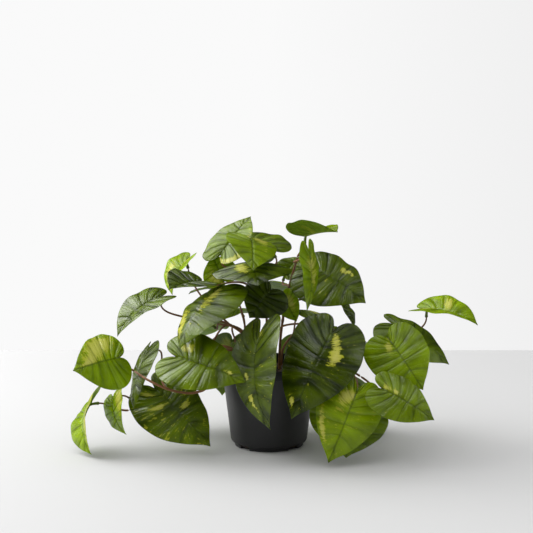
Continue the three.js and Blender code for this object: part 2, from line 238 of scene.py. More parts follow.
# A round bar along a path: each ring is point + (side cos + up sin) radius, with side and up square to
# the path. Side is square to the direction that the path runs along least. The values that go with it
# are cos and sin of the angle round it and the millimetres along it.
def barSkin(path, radii, columns, finish=0):
    path, radii = path * millimetre, radii * millimetre
    along = unit(np.gradient(path, axis=0))
    least = np.linalg.svd(along)[2][-1]
    side = unit(np.cross(along, least))
    up = np.cross(along, side)
    angle = roundAngles(columns)
    spokes = side[:, None] * np.cos(angle)[:, None] + up[:, None] * np.sin(angle)[:, None]
    rings = path[:, None] + spokes * radii[:, None, None]
    travelled = lengthAlong(path)[:, None] / millimetre
    fibre = np.stack(np.broadcast_arrays(np.cos(angle)[None], np.sin(angle)[None], travelled), -1)
    return {"rings": rings, "finish": finish, "values": {"fibre": fibre}}


# Radii that close a bar in a round end over a few rings: radius times the root of 1 - gap squared.
def roundedRadii(count, start, end, closing=4):
    radii = np.linspace(start, end, count)
    gap = np.clip(1 - np.minimum(np.arange(count), np.arange(count)[::-1]) / closing, 0, 1)
    return radii * np.sqrt(1 - gap**2)


# For each place (0 first point, 1 second and so on) the four points round it, the first and last being
# continued straight on, and how far w it is between the middle two.
def curveSpans(points, place):
    points = np.array(points, float)
    padded = np.concatenate([[2 * points[0] - points[1]], points, [2 * points[-1] - points[-2]]])
    at = np.minimum(place.astype(int), len(points) - 2)
    return *(padded[at + k] for k in range(4)), (place - at)[:, None]


# A cubic from b to c that sets off by leave and comes in by arrive: b + w leave
# + w^2 (3 (c - b) - 2 leave - arrive) + w^3 (2 (b - c) + leave + arrive).
def cubicSpan(b, c, leave, arrive, w):
    bowed = b + w * leave + w**2 * (3 * (c - b) - 2 * leave - arrive)
    return bowed + w**3 * (2 * (b - c) + leave + arrive)


# A Catmull-Rom curve through points that leaves each one along half the line between its neighbours.
def evenCurve(points, share):
    a, b, c, d, w = curveSpans(points, share * (len(points) - 1))
    return cubicSpan(b, c, (c - a) / 2, (d - b) / 2, w)


# A centripetal Catmull-Rom curve: the same, but each span lasts the root of its length, so that it
# doesn't overshoot. It is then read at equal lengths along it.
def stemCurve(points, count, fine=401):
    a, b, c, d, w = curveSpans(points, np.linspace(0, len(points) - 1, fine))
    pairs = ((a, b), (b, c), (c, d))
    before, during, after = (np.sqrt(np.linalg.norm(q - p, axis=1))[:, None] for p, q in pairs)
    leave = ((b - a) / before - (c - a) / (before + during) + (c - b) / during) * during
    arrive = ((c - b) / during - (d - b) / (during + after) + (d - c) / after) * during
    line = cubicSpan(b, c, leave, arrive, w)
    length = lengthAlong(line)
    wanted = np.linspace(0, length[-1], count)
    return np.stack([np.interp(wanted, length, line[:, k]) for k in range(3)], -1)


print("nursery pot")
potLook = {
    "height": 100,
    "baseRadius": 46,
    "mouthRadius": 57,
    "wall": 1.6,
    "rimWidth": 2.4,
    "rimHeight": 11,
    "footRadius": 41,
    "footHeight": 4,
    "footCorner": 3,  # how far in from the wall the floor starts to rise
    "cornerRadius": 5,
    "floorThickness": 2,
    "notches": 4,
    "notchWidth": 15,
    "notchDepth": 4,  # past the foot's corner
    "notchRise": 3,  # above the foot
    "drainRadius": 4,
    "drainReach": 12,
    "drainCircle": 27,
    "edge": 0.5,  # rounding of its moulded edges
    "sharpAngle": 50,
    "columns": 160,
    "plastic": (22, 22, 23),
    "worn": (44, 44, 43),
    "roughness": 0.4,
}


# Draw marks run up the wall, scuffs show where fine and cloudy noise are both high, and dust lies low.
def potFinish(look):
    f = newFinish("blackNurseryPlastic")
    place = f.objectPoint()
    x, y, z = f.parts(place)
    streaks = f.noise(f.combined(x, y, z * 0.12), 260, 3)
    clouds = f.noise(place, 38, 3)
    scuffs = f.step(f.noise(place, 420, 4, 0.7), 0.62, 0.72) * f.step(clouds, 0.5, 0.62)
    dust = f.step(z, 0.03, 0.0) * f.step(clouds, 0.35, 0.7) * 0.35
    worn = (scuffs * 0.3 + dust + f.step(streaks, 0.55, 0.8) * 0.12).clamped()
    base = f.blend(worn, colour(*look["plastic"]), colour(*look["worn"]))
    rough = look["roughness"] + clouds * 0.1 + worn * 0.3
    relief = streaks + f.noise(place, 1500, 2) * 0.4
    return f.finished(f.surface(base, rough, relief, 0.0002, 0.35))


# Each corner of a profile becomes five points of a small curve (1-t)^2 a + 2t(1-t) corner + t^2 b,
# whose ends a and b lie the edge's rounding away from the corner, or half way to the next one. Corners
# in the same place count once.
def softProfile(corners, rounding, steps=5):
    corners = np.array(corners, float)
    apart = np.linalg.norm(np.diff(corners, axis=0), axis=1) > 1e-6
    corners = corners[np.append(True, apart)]
    middle = corners[1:-1]
    t = np.linspace(0, 1, steps)[None, :, None]
    ends = []
    for neighbour in (corners[:-2], corners[2:]):
        reach = np.linalg.norm(neighbour - middle, axis=1, keepdims=True)
        ends.append(middle + (neighbour - middle) * np.minimum(rounding / reach, 0.5))
    a, b = (end[:, None] for end in ends)
    curves = (1 - t) ** 2 * a + 2 * t * (1 - t) * middle[:, None] + t**2 * b
    return np.concatenate([corners[:1], curves.reshape(-1, 2), corners[-1:]])


# The pot's wall from foot to rim, moved inwards by inset: a quarter circle, then a straight taper.
def wallLine(look, inset):
    inside = look["baseRadius"] - look["cornerRadius"]
    corner = look["footHeight"] + look["cornerRadius"]
    angle = np.linspace(0, np.pi / 2, 9)
    bend = look["cornerRadius"] - inset
    arc = np.stack([inside + bend * np.sin(angle), corner - bend * np.cos(angle)], -1)
    return arc.tolist() + [[look["mouthRadius"] - inset, look["height"]]]


# A turned skin: each profile point (radius, height) goes round the axis as radius cos, radius sin.
def turnedRings(profile, columns):
    angle = roundAngles(columns)
    radius, height = np.array(profile, float).T[..., None]
    parts = np.broadcast_arrays(radius * np.cos(angle), radius * np.sin(angle), height)
    return millimetre * np.stack(parts, -1)


# Turns the wall's section, then cuts the notches under the foot and the drain holes between them.
def makePot(look):
    outer = wallLine(look, 0)
    inner = wallLine(look, look["wall"])
    rimStart = look["height"] - look["rimHeight"]
    rimRadius = look["mouthRadius"] + look["rimWidth"]
    slope = (look["mouthRadius"] - look["baseRadius"]) / (look["height"] - outer[-2][1])
    underRim = look["baseRadius"] + slope * (rimStart - outer[-2][1])
    profile = softProfile(
        [[0, 0], [look["footRadius"], 0], [look["footRadius"], look["footHeight"]]]
        + outer[:-1]
        + [
            [underRim, rimStart],
            [rimRadius, rimStart],
            [rimRadius, look["height"]],
            [look["mouthRadius"] - look["wall"], look["height"]],
        ]
        + inner[:-1][::-1]
        + [[inner[0][0] - look["footCorner"], look["floorThickness"]], [0, look["floorThickness"]]],
        look["edge"],
    )
    skins = [{"rings": turnedRings(profile, look["columns"])}]
    piece = makePiece("nurseryPot", skins, [potFinish(look)], "pot")
    cutters = []
    for index in range(look["notches"]):
        angle = (index + 0.5) / look["notches"] * 2 * math.pi
        bpy.ops.mesh.primitive_cube_add(size=1)
        notch = bpy.context.object
        deep = look["cornerRadius"] + look["notchDepth"]
        tall = look["footHeight"] + look["notchRise"]
        notch.scale = [side * millimetre for side in (deep, look["notchWidth"], tall)]
        reach = look["footRadius"] * millimetre
        middle = (look["footHeight"] / 2 + 0.5) * millimetre
        notch.location = (reach * math.cos(angle), reach * math.sin(angle), middle)
        notch.rotation_euler = (0, 0, angle)
        bpy.ops.mesh.primitive_cylinder_add(
            vertices=32,
            radius=look["drainRadius"] * millimetre,
            depth=look["drainReach"] * millimetre,
        )
        drain = bpy.context.object
        reach = look["drainCircle"] * millimetre
        angle += math.pi / look["notches"]
        drain.location = (reach * math.cos(angle), reach * math.sin(angle), 0)
        cutters += [notch, drain]
    for cutter in cutters:
        cut = piece.modifiers.new("cut", "BOOLEAN")
        cut.operation = "DIFFERENCE"
        cut.object = cutter
    bpy.context.view_layer.update()
    evaluated = piece.evaluated_get(bpy.context.evaluated_depsgraph_get())
    carved = bpy.data.meshes.new_from_object(evaluated)
    piece.modifiers.clear()
    piece.data = carved
    carved.set_sharp_from_angle(angle=math.radians(look["sharpAngle"]))
    for cutter in cutters:
        bpy.data.objects.remove(cutter)


makePot(potLook)

print("potting mix")
mixLook = {
    "top": 88,
    "crown": 3,
    "gap": 0.3,
    "lumps": 1.6,  # height of the rough surface
    "lumpLength": 26,
    "chips": 420,
    "chipLength": 4.5,
    "chipShape": (0.5, 0.28, 0.14),  # its long, wide and thin half, as shares of the length
    "columns": 180,
    "darkSoil": (30, 22, 16),
    "lightSoil": (92, 70, 50),
    "bark": (70, 48, 32),
    "seed": 11,
}


# Fine grains and broad clumps share out the dark and the light colour; pebbles only raise the surface.
def mixFinish(look, name, light):
    f = newFinish(name)
    place = f.objectPoint()
    grains = f.noise(place, 700, 4, 0.7)
    clumps = f.noise(place, 130, 3)
    pebbles = f.cells(place, 420, "F1")
    share = f.step(grains * 0.6 + clumps * 0.4, 0.4, 0.68)
    base = f.blend(share, colour(*look["darkSoil"]), colour(*light))
    return f.finished(f.surface(base, 0.8 + grains * 0.15, grains + pebbles, 0.0008, 0.8))


# Smooth random heights: the sum over octaves of waves in random directions, each octave's waves being
# half as long and about half as high as the last one's.
def roughHeights(x, y, seed, longest, octaves=4, waves=7):
    chance = np.random.default_rng(seed)
    total = np.zeros_like(x)
    for octave in range(octaves):
        turn = chance.uniform(0, 2 * np.pi, (2, waves))
        count = 2 * np.pi * 2**octave / longest
        place = x[..., None] * np.cos(turn[0]) + y[..., None] * np.sin(turn[0])
        total += np.sin(count * place + turn[1]).sum(-1) / math.sqrt(waves) * 0.55**octave
    return total


# The heap's top is crown (1 - (r/R)^2) over its rim plus rough lumps, which die out at the wall. Its
# chips are flattened balls, (long cos a cos b, wide sin a cos b, thin sin b), tipped and turned.
def makeMix(look, pot):
    corner = pot["footHeight"] + pot["cornerRadius"]
    inside = wallLine(pot, pot["wall"] + look["gap"])
    slope = (inside[-1][0] - inside[-2][0]) / (pot["height"] - corner)
    edge = inside[-2][0] + slope * (look["top"] - corner)
    columns = look["columns"]
    angle = roundAngles(columns)
    share = np.linspace(1, 0, 70)[:, None] ** 0.8
    x, y = edge * share * np.cos(angle), edge * share * np.sin(angle)
    lumps = roughHeights(x, y, look["seed"], look["lumpLength"]) * look["lumps"] * 0.5
    z = look["top"] + look["crown"] * (1 - share**2) + lumps * np.clip((1 - share) * 8, 0, 1)
    top = np.stack([x, y, z], -1) * millimetre
    floor = pot["floorThickness"] + look["gap"]
    under = turnedRings([[0, floor], [inside[0][0] - 1, floor]] + inside[1:-1], columns)
    skins = [{"rings": np.concatenate([under, top])}]
    chance = np.random.default_rng(look["seed"])
    count = look["chips"]
    far = edge * 0.95 * np.sqrt(chance.random(count))
    spin = chance.uniform(0, 2 * np.pi, count)
    centre = np.stack([far * np.cos(spin), far * np.sin(spin)], -1)
    height = look["top"] + look["crown"] * (1 - (far / edge) ** 2) + 0.5
    size = look["chipLength"] * chance.uniform(0.35, 1, (count, 1)) * [look["chipShape"]]
    a = roundAngles(6)
    b = np.linspace(-np.pi / 2, np.pi / 2, 5)[:, None]
    parts = np.broadcast_arrays(np.cos(a) * np.cos(b), np.sin(a) * np.cos(b), np.sin(b))
    ball = np.stack(parts, -1) * size[:, None, None] * chance.uniform(0.8, 1.2, (count, 5, 6, 1))
    ball[:, 0], ball[:, -1] = ball[:, :1, 0], ball[:, -1:, 0]
    turn = chance.uniform(0, 2 * np.pi, count)[:, None, None]
    tip = chance.uniform(-0.5, 0.5, count)[:, None, None]
    long, wide, thin = np.moveaxis(ball, -1, 0)
    level = long * np.cos(tip) - thin * np.sin(tip)
    chips = np.stack(
        [
            level * np.cos(turn) - wide * np.sin(turn) + centre[:, None, None, 0],
            level * np.sin(turn) + wide * np.cos(turn) + centre[:, None, None, 1],
            long * np.sin(tip) + thin * np.cos(tip) + height[:, None, None],
        ],
        -1,
    )
    skins += [{"rings": chip * millimetre, "finish": 1} for chip in chips]
    finishes = [
        mixFinish(look, "pottingMixSoil", look["lightSoil"]),
        mixFinish(look, "pottingMixBark", look["bark"]),
    ]
    makePiece("pottingMix", skins, finishes, "potting_mix")


makeMix(mixLook, potLook)

print("vines")


# The entries of the list below.
def stem(name, route, *leaves):
    return {"name": name, "route": route, "leaves": leaves}


def blade(at, joint, tip, face, **shape):
    return {"at": at, "joint": joint, "tip": tip, "face": face, **shape}


# Each stem: its name, the points of its route from the root, whose height the mix sets, and its blades.
# A blade: where its stalk leaves the stem (0 root, 1 end), its joint and its tip, the way its upper side
# looks, and width: of the flat blade; in degrees, bend: of the midrib, fold: how far both halves are
# raised, curl: how far each rolls back, lean: how much one half is raised and the other lowered, twist:
# of the tip, arrival: of the neck; tone: dark 0 to light 1, the leaf's own green with painted
# shade and light, darker for leaves that lie in shade and lighter for lit ones; fleck: how speckled;
# gold: patches (share along the veins, share across, and both spreads).
vines = [
    stem(
        "left_high",
        [(-16, 8, 0), (-20, 10, 118), (-50, 16, 144), (-100, 18, 151)],
        blade(1, (-131, 10, 177), (-180, -12, 133), (-0.7, -0.5, 0.5), width=60, bend=58, fold=16,
              curl=15, arrival=80, tone=0.2, fleck=0.2),
        blade(0.6, (-98, 26, 220), (-116, 14, 179), (-0.86, -0.36, 0.37), width=62, bend=55, fold=20,
              curl=15, arrival=115, tone=0.8, fleck=0.3,
              gold=[(0.35, 0.3, 0.24, 0.39), (0.7, -0.5, 0.24, 0.33)]),
        blade(0.35, (-56, -46, 198), (-102, -89, 132), (-0.68, -0.56, 0.5), width=86, bend=50, fold=-10,
              curl=18, tone=0.22, fleck=0.5, gold=[(0.35, 0.12, 0.36, 0.18), (0.75, -0.7, 0.12, 0.33)]),
    ),
    stem(
        "left_front",
        [
            (-26, -18, 0), (-30, -24, 112), (-52, -44, 122), (-70, -60, 84), (-86, -60, 76),
            (-103, -66, 78), (-122, -72, 85), (-140, -68, 93), (-158, -38, 97),
        ],
        blade(1, (-173, -50, 116), (-224, -84, 107), (-0.15, -0.9, 0.3), width=73, bend=30, fold=-8,
              curl=15, arrival=70, tone=0.7, fleck=0.4,
              gold=[(0.6, -0.6, 0.24, 0.44), (0.8, -0.2, 0.14, 0.22)]),
        blade(0.74, (-144, -26, 119), (-158, -50, 52), (-0.86, -0.42, 0.28), width=50, bend=35, fold=-4,
              curl=12, tone=0.2, fleck=0.2),
        blade(0.55, (-107, -76, 122), (-26, -102, 97), (-0.05, -0.75, 0.66), width=74, bend=30, fold=8,
              curl=25, tone=0.3, fleck=0.5, gold=[(0.42, 0.45, 0.07, 0.22), (0.85, 0.2, 0.05, 0.22)]),
    ),
    stem(
        "left_low",
        [(-32, 0, 0), (-36, 2, 110), (-62, 6, 118), (-92, 6, 92), (-124, 2, 62), (-168, -4, 42)],
        blade(1, (-211, -26, 57), (-206, -68, 4), (-0.88, -0.48, 0.05), width=64, bend=70, fold=16,
              curl=15, tone=0.85, fleck=0.3, gold=[(0.5, 0.88, 0.54, 0.18)]),
        blade(0.9, (-184, -37, 64), (-166, -57, 25), (-0.75, -0.65, 0), width=50, bend=60, fold=5,
              curl=15, twist=-20, tone=0.9, fleck=0.2, gold=[(0.5, 0.7, 0.24, 0.33)]),
        blade(0.7, (-135, -26, 74), (-68, -60, 12), (0.27, -0.86, 0.42), width=88, bend=20, fold=-18,
              curl=10, arrival=75, tone=0.22, fleck=0.9,
              gold=[(0.62, 0.3, 0.04, 0.22), (0.3, -0.5, 0.04, 0.28), (0.5, -0.3, 0.04, 0.33)]),
    ),
    stem(
        "crown_left",
        [(-8, -4, 0), (-12, 0, 130), (-20, 2, 180), (-28, 2, 205)],
        blade(0.9, (-80, -28, 202), (-114, -72, 199), (-0.25, -0.62, 0.74), width=64, bend=25, fold=15,
              curl=12, arrival=15, tone=0.12, fleck=0.2),
        blade(1, (-57, 6, 230), (-22, 46, 271), (-0.55, -0.75, 0.5), width=60, bend=15, fold=8, curl=20,
              tone=0.38, fleck=0.2, gold=[(0.35, -0.88, 0.36, 0.18)]),
        blade(0.8, (-55, 12, 198), (-68, 18, 227), (0.1, -0.9, 0.3), width=44, bend=10, fold=5, curl=10,
              tone=0.85, fleck=0.4, gold=[(0.4, 0.4, 0.36, 0.44)]),
        blade(0.7, (-58, 60, 182), (-98, 36, 177), (-0.2, 0.1, 0.95), width=56, bend=30, fold=5, curl=15,
              tone=0.25, fleck=0.2),
    ),
    stem(
        "crown_mid",
        [(0, 8, 0), (-2, 8, 130), (-4, 6, 180), (-6, 4, 214)],
        blade(1, (-21, -14, 251), (-18, -84, 222), (0.1, -0.74, 0.66), width=62, bend=40, fold=4,
              curl=15, lean=-12, tone=0.5, fleck=0.5,
              gold=[(0.35, 0.5, 0.24, 0.33), (0.2, -0.4, 0.12, 0.28)]),
        blade(0.92, (5, 32, 231), (-36, 70, 247), (0.1, -0.55, 0.8), width=66, bend=20, fold=0, curl=20,
              tone=0.2, fleck=0.2),
        blade(0.8, (-21, -24, 225), (-13, -94, 206), (0, -0.45, 0.9), width=96, bend=40, fold=-6,
              curl=18, tone=0.14, fleck=0.3, gold=[(0.62, -0.3, 0.19, 0.18), (0.3, 0.3, 0.06, 0.33)]),
        blade(0.6, (2, -25, 191), (-23, -38, 160), (-0.1, -0.95, 0.3), width=58, bend=20, fold=-5,
              curl=15, tone=0.1, fleck=0.1),
        blade(0.7, (0, 58, 190), (9, 114, 163), (0, 0.45, 0.9), width=72, bend=35, fold=-5, curl=20,
              tone=0.4, fleck=0.5, gold=[(0.5, 0.4, 0.1, 0.44)]),
    ),
    stem(
        "crown_right",
        [(12, 2, 0), (14, 4, 130), (22, 10, 180), (34, 16, 225)],
        blade(1, (42, 14, 251), (80, -30, 260), (-0.1, 0.36, 0.93), width=60, bend=20, fold=30, curl=10,
              arrival=80, tone=0.6, fleck=0.7, gold=[(0.35, 0.3, 0.14, 0.44), (0.55, -0.2, 0.07, 0.55)]),
        blade(0.9, (46, -56, 240), (43, -56, 170), (0.93, -0.35, 0.1), width=58, bend=30, fold=4,
              curl=15, arrival=110, tone=0.72, fleck=0.9,
              gold=[(0.45, 0, 0.14, 0.66), (0.65, 0.3, 0.07, 0.33)]),
        blade(0.8, (51, 2, 214), (114, -22, 175), (0.4, -0.7, 0.6), width=88, bend=30, fold=-5, curl=20,
              lean=6, tone=0.2, fleck=0.5, gold=[(0.63, 0.5, 0.04, 0.14), (0.7, 0.62, 0.04, 0.11)]),
        blade(0.75, (19, 40, 202), (39, 66, 219), (-0.1, -0.6, 0.8), width=38, bend=20, fold=5, curl=10,
              tone=0.4, fleck=0.3),
        blade(0.5, (17, -8, 181), (33, -10, 151), (-0.2, -0.95, 0.2), width=30, bend=20, fold=5, curl=10,
              tone=0.85, fleck=0.5, gold=[(0.5, 0.3, 0.36, 0.44)]),
        blade(0.6, (88, 22, 173), (101, 4, 141), (0.9, -0.3, 0.3), width=46, bend=30, fold=5, curl=15,
              tone=0.16, fleck=0.1),
    ),
    stem(
        "front",
        [(4, -22, 0), (4, -26, 115), (6, -34, 135), (14, -40, 150)],
        blade(0.8, (-11, -80, 149), (2, -106, 43), (-0.78, -0.6, 0.12), width=84, bend=60, fold=6,
              curl=12, tone=0.15, fleck=0.5,
              gold=[(0.14, 0.3, 0.12, 0.22), (0.8, -0.45, 0.05, 0.15), (0.65, -0.35, 0.04, 0.11)]),
        blade(1, (73, -74, 151), (25, -112, 57), (-0.16, -0.9, 0.4), width=94, bend=35, fold=-12,
              curl=15, tone=0.1, fleck=0.4,
              gold=[(0.36, 0.28, 0.19, 0.13), (0.52, 0.4, 0.06, 0.11), (0.86, -0.7, 0.05, 0.17)]),
    ),
    stem(
        "right_high",
        [(24, 2, 0), (34, 2, 114), (62, -4, 124), (100, -6, 112), (132, 12, 106), (156, 50, 114)],
        blade(1, (190, 38, 158), (251, 10, 143), (0.1, -0.22, 0.97), width=66, bend=45, fold=20, curl=15,
              arrival=80, tone=0.72, fleck=0.6, gold=[(0.4, -0.3, 0.1, 0.44), (0.6, 0.4, 0.07, 0.44)]),
        blade(0.76, (149, 16, 144), (216, 0, 97), (0.1, -0.42, 0.9), width=78, bend=30, fold=-8, curl=18,
              tone=0.28, fleck=0.2),
        blade(0.62, (140, -42, 136), (178, -68, 81), (0.05, -0.95, 0.3), width=78, bend=25, fold=-8,
              curl=15, arrival=85, tone=0.62, fleck=0.5,
              gold=[(0.36, -0.22, 0.12, 0.15), (0.1, -0.3, 0.07, 0.33)]),
    ),
    stem(
        "right_low",
        [(26, -16, 0), (34, -24, 108), (58, -36, 114), (86, -38, 104), (108, -24, 88)],
        blade(1, (128, -100, 90), (187, -108, 55), (0.1, -0.85, 0.5), width=57, bend=30, fold=-6,
              curl=18, arrival=95, tone=0.42, fleck=0.4,
              gold=[(0.3, 0.25, 0.1, 0.22), (0.5, 0.15, 0.07, 0.13)]),
        blade(0.8, (100, -92, 85), (67, -114, 7), (0.1, -0.95, 0.3), width=78, bend=25, fold=-8, curl=15,
              tone=0.64, fleck=0.8,
              gold=[(0.4, -0.32, 0.19, 0.22), (0.28, -0.1, 0.1, 0.13), (0.72, -0.8, 0.17, 0.13)]),
        blade(0.7, (94, -68, 63), (88, -96, 8), (0.05, -0.95, 0.25), width=94, bend=15, fold=-5, curl=10,
              tone=0.4, fleck=0.2),
    ),
    stem(
        "back_left",
        [(-14, 26, 0), (-18, 32, 112), (-36, 48, 132), (-62, 60, 136)],
        blade(1, (-72, 80, 134), (-116, 106, 100), (-0.5, 0.4, 0.77), width=72, bend=35, fold=-5,
              curl=20, tone=0.6, fleck=0.5, gold=[(0.4, -0.3, 0.1, 0.44)]),
        blade(0.8, (-46, 84, 112), (-60, 112, 34), (-0.3, 0.9, 0.3), width=82, bend=30, fold=-8, curl=15,
              tone=0.3, fleck=0.6, gold=[(0.3, 0.3, 0.1, 0.39), (0.6, -0.4, 0.06, 0.44)]),
        blade(0.6, (-34, 58, 154), (-64, 114, 136), (-0.2, 0.3, 0.93), width=74, bend=35, fold=-5,
              curl=20, tone=0.45, fleck=0.5, gold=[(0.5, 0.3, 0.07, 0.44)]),
        blade(0.9, (-94, 48, 96), (-142, 66, 36), (-0.7, 0.6, 0.4), width=74, bend=30, fold=-5, curl=15,
              tone=0.7, fleck=0.5, gold=[(0.35, 0.5, 0.14, 0.33)]),
    ),
    stem(
        "back_right",
        [(14, 26, 0), (18, 32, 112), (38, 48, 130), (62, 60, 132)],
        blade(1, (80, 80, 130), (124, 108, 98), (0.5, 0.4, 0.77), width=70, bend=35, fold=-5, curl=20,
              tone=0.35, fleck=0.5, gold=[(0.35, 0.2, 0.1, 0.44)]),
        blade(0.8, (48, 84, 110), (68, 112, 28), (0.3, 0.9, 0.3), width=80, bend=30, fold=-8, curl=15,
              tone=0.62, fleck=0.6, gold=[(0.45, -0.3, 0.1, 0.44), (0.25, 0.4, 0.06, 0.44)]),
        blade(0.6, (36, 58, 152), (66, 114, 134), (0.2, 0.3, 0.93), width=72, bend=35, fold=-5, curl=20,
              tone=0.28, fleck=0.4, gold=[(0.6, -0.3, 0.07, 0.39)]),
        blade(0.9, (104, 58, 68), (142, 76, 14), (0.7, 0.6, 0.4), width=70, bend=30, fold=-5, curl=15,
              tone=0.5, fleck=0.6, gold=[(0.5, 0.4, 0.07, 0.55)]),
    ),
]

leafLook = {
    "thickness": 0.8,
    "veinSweep": 1.9,  # how far the veins start behind the margin point that they run to
    "veinBow": 1.35,  # how much a vein swings towards the tip on its way out
    "veins": 9,
    "veinDepth": 0.6,
    "puff": 0.55,  # how much the blade swells between two veins
    "ribDepth": 1.0,
    "wave": 1.6,  # height of the margin's slow waves on a blade of half width waveWidth
    "waveWidth": 40,
    "veinDrift": ((0.012, 3.1), (0.01, 6.3)),  # how far the veins wander along the blade, in waves
    "halfDrift": (0.008, 2.2),  # how far one half's veins drift from the other's
    "ribWidth": 1.3,
    "underRib": 0.9,  # how far the midrib stands out underneath
    "underRibWidth": 1.4,
    "rows": 91,
    "across": 15,
    # Painted shade and light: deep is the green given to leaves lying in shade, light the green given to
    # lit ones.
    "deep": (34, 46, 0),
    "light": (172, 206, 0),
    "gold": (210, 212, 50),
    "cream": (236, 232, 116),
    "veinDark": (26, 38, 0),
    "underside": (118, 148, 40),
    "underVein": (150, 170, 70),
    "glow": (0.3, 0.44, 0.0, 1),
    "translucence": 0.42,
    "roughness": 0.2,
    "gloss": 0.45,
}
neckLook = {
    "radius": 2.2,
    "length": 11,
    "arrival": 45,
    "mouth": 0.82,  # radius at its mouth and how much it narrows, as shares of its radius
    "narrowing": 0.45,
    "collar": 0.2,
    "collarPlace": 0.05,
    "green": (104, 124, 30),
    "brown": (92, 68, 26),
}
stemLook = {
    "radius": 1.7,
    "endRadius": 1.3,
    "stalkRadius": 1.1,
    "rootDepth": 16,
    "knuckle": 0.3,  # how much thicker a stem is where a stalk leaves it
    "knuckleLength": 0.012,
    "stalkTaper": (1.15, 0.9),
    "stalkReach": 0.35,  # how far a stalk keeps its first and its last direction
    "dark": (88, 54, 24),
    "light": (156, 108, 58),
}

# Half of the flat blade's outline: x from the joint (0) to the tip (1), y in shares of the width.
halfOutline = [
    (0, 0), (-0.09, 0.035), (-0.175, 0.11), (-0.205, 0.24), (-0.12, 0.4), (0.07, 0.49),
    (0.3, 0.49), (0.55, 0.405), (0.77, 0.235), (0.92, 0.07), (1, 0),
]


# A glossy coat mixed with light that shines through. It reads blade (vein share, share across, side),
# flat (millimetres along and across, leaf's number) and look (gold, fleck, tone). Streaks, threads
# and broad are noise drawn out along the veins, which run where the cosine of the phase nears 1. The
# leaf's tone, which holds painted shade and light besides its own green, plus mottle takes the green
# from deep (given to leaves lying in shade) to light (given to lit ones), and gold covers it where gold
# plus ragged noise is high.
def leafFinish(look):
    f = newFinish("leafGlossGreen")
    vein, across, side = f.attribute("blade")
    flatX, flatY, number = f.attribute("flat")
    gold, fleck, tone = f.attribute("look")
    flatPlace = f.combined(flatX, flatY, number)
    streaks = f.noise(f.combined(vein * 62, across * 2.6, number), 1.0, 3, 0.65)
    threads = f.noise(f.combined(vein * 170, across * 5, number + 20), 1.0, 2, 0.6)
    broad = f.noise(f.combined(vein * 15, across * 1.3, number + 40), 1.0, 2)
    clouds = f.noise(flatPlace, 0.05, 2)
    specks = f.noise(flatPlace, 0.45, 3, 0.6)
    ragged = streaks * 0.6 + threads * 0.22 + specks * 0.18 - 0.5
    phase = vein * look["veins"] * 2 * math.pi
    ridges = phase.cosine() * 0.5 + 0.5
    minor = (phase * 3 + specks * 2).cosine() * 0.5 + 0.5
    onVein = ridges**22
    rib = f.step(abs(flatY), 1.4, 0.5)
    mottle = (clouds - 0.5) * 0.9 + (broad - 0.5) * 0.7 + ragged * 0.6
    # Painted shade and light: the per-leaf tone makes leaves that lie in shade a darker green and lit
    # leaves a lighter one.
    shade = tone + mottle * (0.3 + tone) - ridges**4 * 0.1
    paints = ("deep", "light", "gold", "cream", "veinDark", "underside", "underVein")
    deep, light, yellow, cream, veinDark, underside, underVein = (colour(*look[p]) for p in paints)
    green = f.blend(f.step(shade, 0, 1), deep, light)
    patch = f.step(gold + ragged * 3.2, 0.5, 0.66)
    dots = f.noise(f.combined(vein * 95, across * 6, number + 60), 1.0, 2) + (broad - 0.5) * 0.25
    flecks = f.step(dots, 0.75 - fleck * 0.12, 0.79 - fleck * 0.12)
    golden = f.blend(f.step(gold + ragged, 0.5, 1.1), yellow, cream)
    upper = f.blend((patch + flecks * 0.7).clamped() * 0.9, green, golden)
    upper = f.blend(onVein * (0.16 + tone * 0.24) * (1 - abs(across) * 0.6), upper, veinDark)
    upper = f.blend(rib * (0.3 + tone * 0.3), upper, veinDark)
    lower = f.blend(0.55, green, underside)
    lower = f.blend(patch * 0.5, lower, yellow)
    lower = f.blend(rib * 0.5 + onVein * 0.25, lower, underVein)
    isUpper = f.step(side, -0.1, 0.1)
    net = f.cells(flatPlace, 0.32, "DISTANCE_TO_EDGE")
    relief = f.step(net, 0.0, 0.18) * 0.2 + specks * 0.6 - ridges**10 * 0.9 - minor**6 * 0.5
    relief = relief + streaks * 0.9 + threads * 0.5
    base = f.blend(isUpper, lower, upper)
    rough = look["roughness"] + (specks - 0.5) * 0.16 + (1 - isUpper) * 0.16
    coat = f.surface(base, rough, relief, 0.0007, 0.75, **{"Specular IOR Level": look["gloss"]})
    through = f.node("BsdfTranslucent", {}, {"Color": look["glow"]})
    share = look["translucence"] * (0.35 + tone * 0.65)
    return f.finished(f.node("MixShader", {}, {0: share, 1: coat, 2: through}))


# Green with fine grain along it, and brown by patches that grow towards its mouth.
def neckFinish(look):
    f = newFinish("neckSleeveGreen")
    around, up, along = f.attribute("fibre")
    grain = f.noise(f.combined(around * 2, up * 2, along * 0.12), 3, 3)
    mottle = f.noise(f.objectPoint(), 350, 3)
    brown = f.step(mottle * 0.5 + f.step(along, 6, 0) * 0.5, 0.42, 0.85)
    base = f.blend(brown, colour(*look["green"]), colour(*look["brown"]))
    return f.finished(f.surface(base, 0.38 + grain * 0.15, grain, 0.0003, 0.6))


# Fibres run along the bar, and they and a mottle share out the dark and the light brown.
def stemFinish(look):
    f = newFinish("stemWireBrown")
    around, up, along = f.attribute("fibre")
    fibres = f.noise(f.combined(around * 3, up * 3, along * 0.15), 2.5, 4, 0.6)
    mottle = f.noise(f.objectPoint(), 160, 3)
    share = f.step(fibres * 0.6 + mottle * 0.4, 0.36, 0.66)
    base = f.blend(share, colour(*look["dark"]), colour(*look["light"]))
    return f.finished(f.surface(base, 0.5 + fibres * 0.2, fibres, 0.0005, 0.8))


